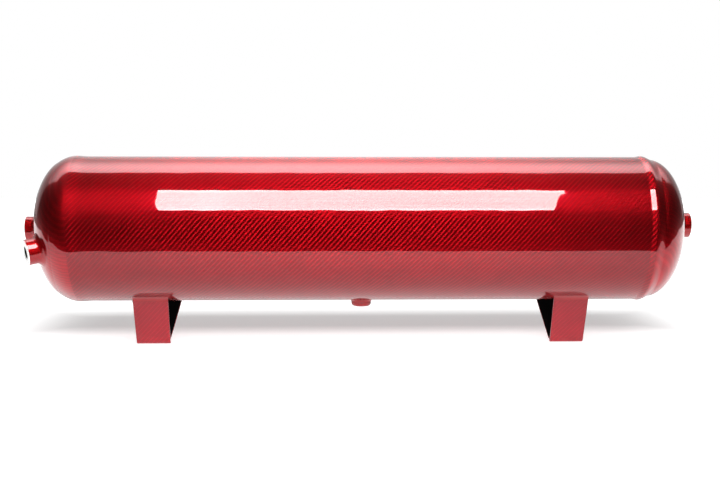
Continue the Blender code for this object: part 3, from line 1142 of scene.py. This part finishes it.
def makeSeamTree(settings):
    inputs = [("Width", "Float"), ("Rise", "Float"), ("Half Length", "Float")]
    inputs += [("Ripple Pitch", "Float"), ("Ripple Depth", "Float"), ("Material", "Material")]
    tree, inside, outside = nodeGroup("seamBead", inputs)
    sockets = inside.outputs
    grid, alongGrid, acrossGrid = unitGrid(tree, settings["columns"], settings["rows"])
    x = mathNode(tree, "MULTIPLY", alongGrid, mathNode(tree, "MULTIPLY", sockets["Half Length"], 2))
    crest = mathNode(tree, "COSINE", mathNode(tree, "MULTIPLY", acrossGrid, math.pi))
    # crescent ripples: the wave lags towards the bead's edges
    lag = mathNode(tree, "MULTIPLY", mathNode(tree, "MULTIPLY", crest, crest), settings["rippleLag"])
    phase = mathNode(tree, "ADD", mathNode(tree, "DIVIDE", x, sockets["Ripple Pitch"]), lag)
    wave = mathNode(tree, "SINE", mathNode(tree, "MULTIPLY", phase, fullTurn))
    ripple = mathNode(tree, "MULTIPLY", mathNode(tree, "MULTIPLY", wave, sockets["Ripple Depth"]), crest)
    y = mathNode(tree, "MULTIPLY", acrossGrid, sockets["Width"])
    top = mathNode(tree, "MULTIPLY_ADD", crest, sockets["Rise"], ripple)
    z = mathNode(tree, "SUBTRACT", top, settings["embed"])
    return closeTree(tree, placedPoints(tree, grid, x, y, z), inside, outside)


def turnToX(out):
    # a turn about the local Z that lays local X along the tank
    inTank = facing(out, Vector()).to_3x3().inverted() @ Vector((1, 0, 0))
    return Matrix.Rotation(math.atan2(inTank.y, inTank.x), 4, "Z")


def makeSeam(settings):
    values = {
        "Width": settings["width"],
        "Rise": settings["rise"],
        "Half Length": shellHalf - girth["half"][1],
        "Ripple Pitch": settings["ripplePitch"],
        "Ripple Depth": settings["rippleDepth"],
        "Material": candyPlain,
    }
    obj = applyTree("seamBead", bpy.data.meshes.new("seamBead"), makeSeamTree(settings), values)
    out = Vector((0, math.sin(settings["clock"]), -math.cos(settings["clock"])))
    obj.data.transform(facing(out, tankCentre + shellRadius * out) @ turnToX(out))
    body = obj.modifiers.new("body", "SOLIDIFY")
    body.thickness = settings["body"]
    body.offset = -1
    bead = cleaned(baked(obj, "seamBead"))
    layMap(bead, roundMap)
    return keep(bead, "weld_paint", "shell_seam_weld")


makeSeam(seam)
print("seam made")


# feet: one bent strip each, a straight front leg and a flared rear leg

foot = {
    "sheet": 0.0030,
    "spacing": 0.5205,
    "frontBaseWidth": 0.0422,
    "frontTopWidth": 0.0434,
    "rearBaseWidth": 0.0360,
    "rearTopWidth": 0.0700,
    "baseDepth": 0.0240,
    "topDepth": 0.0680,
    "bend": 0.0050,
    "bendSteps": 8,
    "runIn": 0.0008,  # how far a leg's top reaches into the shell's skin
    "legSteps": 6,
    "rows": 8,
    "hole": 0.0070,
    "edge": 0.0010,
    "edgeSteps": 3,
}
footFillet = {
    "leg": 0.0050,
    "stations": 90,
    "across": 8,
    "hollow": 0.72,
    "endPower": 14,  # how suddenly it tapers at its ends
    "endLeast": 0.02,
    "ripple": 0.04,
    "ripplePitch": 0.0026,
    "shellSink": 0.0012,
    "legSink": 0.0008,
    "cornerRise": 0.0006,
}


def legTop():
    return axisHeight - math.sqrt(shellRadius**2 - (foot["topDepth"] / 2) ** 2)


def footPath():
    # (y, z, half width) of the outer face, front leg's top to rear leg's top
    topZ, bend, runIn = legTop(), foot["bend"], foot["runIn"]
    baseY, topY = foot["baseDepth"] / 2, foot["topDepth"] / 2
    lean = math.atan2(topY - baseY, topZ)
    turn = math.pi / 2 - lean
    startY = baseY - bend * math.tan(turn / 2)
    rear = []
    for i in range(foot["bendSteps"] + 1):
        angle = turn * i / foot["bendSteps"]
        rear.append((startY + bend * math.sin(angle), bend * (1 - math.cos(angle))))
    lastY, lastZ = rear[-1]
    for i in range(1, foot["legSteps"] + 1):
        share = i / foot["legSteps"]
        y = lastY + (topY + runIn * math.sin(lean) - lastY) * share
        rear.append((y, lastZ + (topZ + runIn - lastZ) * share))

    def half(z, base, top):
        return (base + (top - base) * z / topZ) / 2

    front = [(-y, z, half(z, foot["frontBaseWidth"], foot["frontTopWidth"])) for y, z in rear[::-1]]
    return front + [(y, z, half(z, foot["rearBaseWidth"], foot["rearTopWidth"])) for y, z in rear]


def footMap(centreX):
    # across the strip, and along it from its front end
    path = [Vector((0, y, z)) for y, z, _ in footPath()]
    lengths = [0]
    for a, b in zip(path, path[1:]):
        lengths.append(lengths[-1] + (b - a).length)

    def layout(point, middle):
        here = Vector((0, point.y, point.z))
        nearest = min(range(len(path)), key=lambda i: (path[i] - here).length)
        step = path[min(nearest + 1, len(path) - 1)] - path[max(nearest - 1, 0)]
        past = (here - path[nearest]).dot(step.normalized())
        return (point.x - centreX, -(lengths[nearest] + past))

    return layout


def holePunch(name, x):
    radius = foot["hole"] / 2
    punch = linked(name + "Punch", bpy.data.meshes.new("punch"))
    shape = bmesh.new()
    bmesh.ops.create_cone(shape, cap_ends=True, segments=48, radius1=radius, radius2=radius, depth=0.02)
    shape.to_mesh(punch.data)
    shape.free()
    punch.data.transform(Matrix.Translation((x, 0, 0)))
    return punch


def makeFoot(name, x, node):
    rows = foot["rows"]
    verts, faces = [], []
    path = footPath()
    for y, z, half in path:
        verts += [(x + half * (2 * i / rows - 1), y, z) for i in range(rows + 1)]
    for r in range(len(path) - 1):
        for i in range(rows):
            a = r * (rows + 1) + i
            faces.append((a, a + rows + 1, a + rows + 2, a + 1))
    mesh = bpy.data.meshes.new(name)
    mesh.from_pydata(verts, [], faces)
    mesh.materials.append(candyFoot)
    # the inside faces take the near-black painted shade
    mesh.materials.append(paintedFootShade)
    strip = linked(name, mesh)
    sheet = strip.modifiers.new("sheet", "SOLIDIFY")
    sheet.thickness = foot["sheet"]
    sheet.offset = -1
    sheet.use_even_offset = True
    sheet.material_offset = 1
    rounding = strip.modifiers.new("rounding", "BEVEL")
    rounding.width = foot["edge"]
    rounding.segments = foot["edgeSteps"]
    rounding.limit_method = "ANGLE"
    rounding.angle_limit = math.radians(50)
    punch = holePunch(name, x)
    hole = strip.modifiers.new("hole", "BOOLEAN")
    hole.object = punch
    hole.solver = "EXACT"
    strip = cleaned(baked(strip, name), 30)
    bpy.data.objects.remove(punch)
    layMap(strip, footMap(x))
    return keep(strip, "foot_paint", node)


def footFilletSection(settings, size):
    # (depth, height) points round the section: a hollow face, then the sides inside leg and shell
    path = footPath()
    (lowY, lowZ, _), (highY, highZ, _) = path[-3], path[-1]
    rise = Vector((highY - lowY, highZ - lowZ)).normalized()
    out = Vector((rise.y, -rise.x))
    corner = Vector((foot["topDepth"] / 2, legTop()))
    angle = math.asin(corner.x / shellRadius) + size / shellRadius
    down = Vector((math.sin(angle), -math.cos(angle)))
    first, last = corner - size * rise, Vector((0, axisHeight)) + shellRadius * down
    hollow = settings["hollow"]
    pull = corner * hollow + (first + last) * (1 - hollow) / 2
    points = []
    for j in range(settings["across"] + 1):
        t = j / settings["across"]
        points.append((1 - t) ** 2 * first + 2 * t * (1 - t) * pull + t * t * last)
    points.append(last - settings["shellSink"] * down)
    points.append(corner - settings["shellSink"] * out + settings["cornerRise"] * rise)
    points.append(first - settings["legSink"] * out)
    return points


def makeFootWeld(name, x, side, half, node):
    # a hollow fillet outside a leg's top, tapering a little at its ends
    settings = footFillet
    stations, count = settings["stations"], settings["across"] + 4
    verts, faces = [], []
    for i in range(stations + 1):
        share = 2 * i / stations - 1
        taper = max(1 - abs(share) ** settings["endPower"], settings["endLeast"])
        wave = math.sin(fullTurn * share * half / settings["ripplePitch"])
        size = settings["leg"] * math.sqrt(taper) * (1 + settings["ripple"] * wave)
        verts += [(x + share * half, side * p.x, p.y) for p in footFilletSection(settings, size)]
    for i in range(stations):
        for j in range(count):
            a, b = i * count + j, i * count + (j + 1) % count
            faces.append((a, b, b + count, a + count))
    faces.append(tuple(range(count)))
    faces.append(tuple(range(stations * count, (stations + 1) * count)))
    mesh = bpy.data.meshes.new(name)
    mesh.from_pydata(verts, [], faces)
    mesh.materials.append(candyPlain)
    obj = cleaned(linked(name, mesh), 50)
    layMap(obj, roundMap)
    return keep(obj, "weld_paint", node)


for name, side in (("left", -1), ("right", 1)):
    centreX = side * foot["spacing"] / 2
    makeFoot(name + "Foot", centreX, name + "_foot")
    makeFootWeld(name + "FootFrontFillet", centreX, -1, foot["frontTopWidth"] / 2, name + "_foot_front_weld")
    makeFootWeld(name + "FootRearFillet", centreX, 1, foot["rearTopWidth"] / 2, name + "_foot_rear_weld")
print("feet made")
